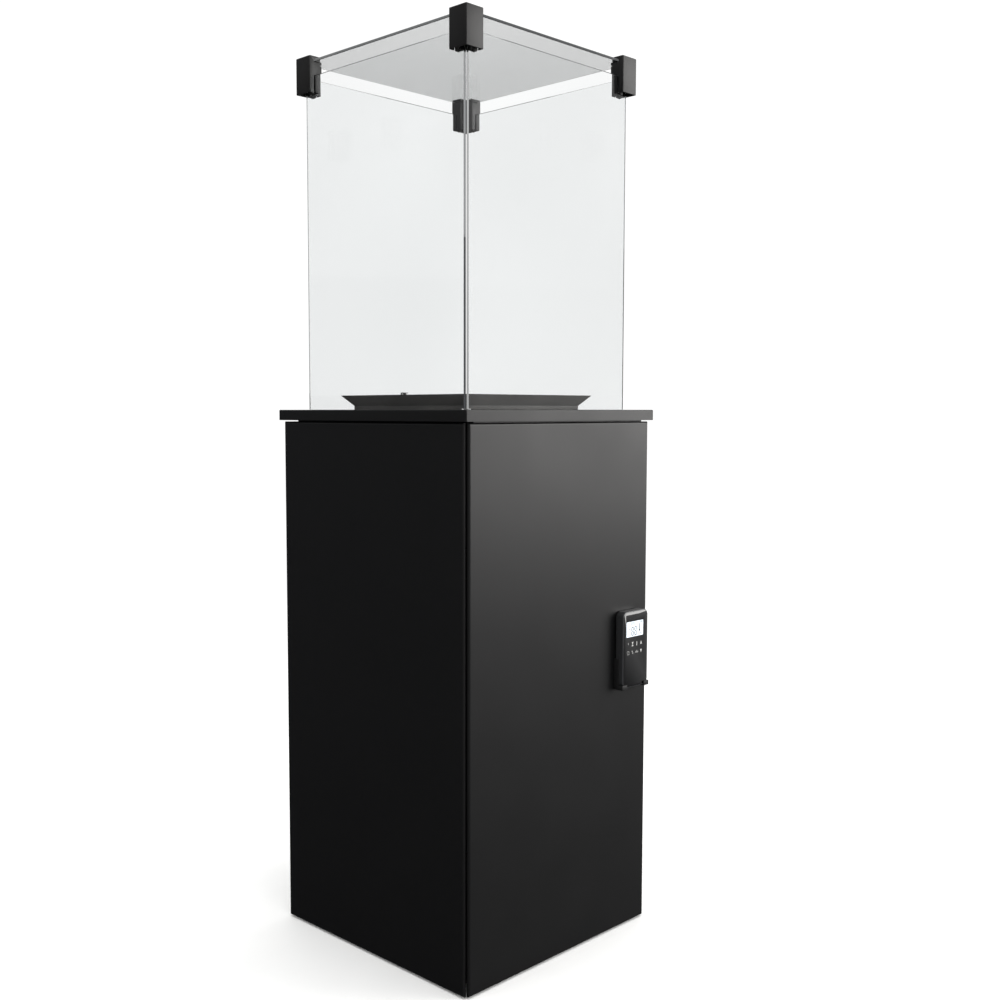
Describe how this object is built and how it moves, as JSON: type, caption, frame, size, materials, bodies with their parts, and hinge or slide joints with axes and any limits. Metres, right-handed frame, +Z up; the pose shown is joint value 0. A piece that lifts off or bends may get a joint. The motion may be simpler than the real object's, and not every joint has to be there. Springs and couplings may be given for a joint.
{
  "type": "patio heater",
  "caption": "Free-standing gas patio heater: square steel cabinet with a door, burner pan on its top plate, and a glass flame chamber under a clipped glass lid.",
  "frame": {"origin": "on the floor under the centre of the square cabinet", "axes": "+Z up, -Y the door side, +X the side that carries the handset"},
  "size_m": [0.4253, 0.412, 1.3405],
  "materials": {
    "powder_coat": "fine-textured satin powder coat",
    "clip_coat": "satin powder coat",
    "heat_paint": "heat-resistant matt enamel",
    "clear_glass": "clear toughened float glass",
    "stainless": "brushed stainless sheet",
    "zinc_plate": "bright zinc plate",
    "cast_alloy": "die cast, as cast",
    "brass": "turned",
    "copper": "drawn copper tube, dull",
    "aluminium_tube": "drawn tube",
    "silicone": "moulded silicone, matt",
    "foot_rubber": "moulded rubber, matt",
    "red_silicone": "silicone sleeve",
    "ceramic": "white glazed ceramic insulator",
    "black_plastic": "moulded ABS, fine texture",
    "battery_wrap": "printed shrink sleeve, plain",
    "handset_shell": "silver-grey lacquered ABS",
    "handset_gloss": "piano-black acrylic",
    "display": "backlit liquid crystal panel"
  },
  "bodies": {
    "root": {"base_tray": "powder_coat", "corner_posts": "powder_coat", "top_frame": "powder_coat", "side_panel_left": "powder_coat", "side_panel_right": "powder_coat", "back_panel": "powder_coat", "hinge_brackets": "zinc_plate", "hinge_pins": "stainless", "door_catches": "black_plastic", "machine_screws": "zinc_plate", "top_plate": "powder_coat", "seat_gaskets": "silicone", "glass_front": "clear_glass", "glass_right": "clear_glass", "glass_back": "clear_glass", "glass_left": "clear_glass", "glass_lid": "clear_glass", "clip_front_left": "clip_coat", "clip_front_right": "clip_coat", "clip_back_right": "clip_coat", "clip_back_left": "clip_coat", "clip_inserts": "silicone", "burner_pan": "heat_paint", "burner_plate": "stainless", "burner_box": "stainless", "venturi_tube": "stainless", "injector": "brass", "pilot_shield": "heat_paint", "pilot_burner": "stainless", "thermocouple": "copper", "spark_electrode": "ceramic", "main_gas_pipe": "copper", "pilot_gas_pipe": "aluminium_tube", "ignition_lead": "red_silicone", "heat_shield": "stainless", "control_bracket": "powder_coat", "valve_body": "cast_alloy", "valve_motor": "black_plastic", "inlet_nipple": "brass", "receiver_case": "black_plastic", "receiver_batteries": "battery_wrap", "tilt_switch": "black_plastic", "control_cable": "silicone", "handset_cradle": "black_plastic"},
    "door": {"door_panel": "powder_coat", "door_stiffeners": "powder_coat", "door_hinge_plates": "zinc_plate"},
    "foot_front_left": {"foot_front_left": "foot_rubber"},
    "foot_front_right": {"foot_front_right": "foot_rubber"},
    "foot_back_left": {"foot_back_left": "foot_rubber"},
    "foot_back_right": {"foot_back_right": "foot_rubber"},
    "air_shutter": {"air_shutter": "zinc_plate"},
    "flame_knob": {"flame_knob": "black_plastic"},
    "pilot_knob": {"pilot_knob": "black_plastic"},
    "receiver_cover": {"receiver_cover": "black_plastic"},
    "handset": {"handset_case": "handset_shell", "handset_face": "handset_gloss", "handset_display": "display", "handset_batteries": "battery_wrap"},
    "handset_cover": {"handset_battery_cover": "black_plastic"}
  },
  "joints": [
    {"name": "door_hinge", "type": "hinge", "parent": "root", "child": "door", "pos_m": [-0.1852, -0.197, 0.4], "axis": [0, 0, -1], "range_deg": [0, 110]},
    {"name": "foot_front_left_screw", "type": "slide", "parent": "root", "child": "foot_front_left", "axis": [0, 0, -1], "range_m": [0, 0.012]},
    {"name": "foot_front_right_screw", "type": "slide", "parent": "root", "child": "foot_front_right", "axis": [0, 0, -1], "range_m": [0, 0.012]},
    {"name": "foot_back_left_screw", "type": "slide", "parent": "root", "child": "foot_back_left", "axis": [0, 0, -1], "range_m": [0, 0.012]},
    {"name": "foot_back_right_screw", "type": "slide", "parent": "root", "child": "foot_back_right", "axis": [0, 0, -1], "range_m": [0, 0.012]},
    {"name": "air_shutter_turn", "type": "hinge", "parent": "root", "child": "air_shutter", "pos_m": [-0.134, 0.04, 0.79], "axis": [1, 0, 0], "range_deg": [0, 60]},
    {"name": "flame_knob_turn", "type": "hinge", "parent": "root", "child": "flame_knob", "pos_m": [0.005, -0.16, 0.742], "axis": [0, -1, 0], "range_deg": [0, 240]},
    {"name": "pilot_knob_turn", "type": "hinge", "parent": "root", "child": "pilot_knob", "pos_m": [-0.04, -0.16, 0.742], "axis": [0, -1, 0], "range_deg": [0, 90]},
    {"name": "receiver_cover_slide", "type": "slide", "parent": "root", "child": "receiver_cover", "axis": [0, 0, -1], "range_m": [0, 0.06]},
    {"name": "handset_lift", "type": "slide", "parent": "root", "child": "handset", "axis": [0, 0, 1], "range_m": [0, 0.12]},
    {"name": "handset_cover_slide", "type": "slide", "parent": "handset", "child": "handset_cover", "axis": [0, 0, -1], "range_m": [0, 0.03]}
  ]
}
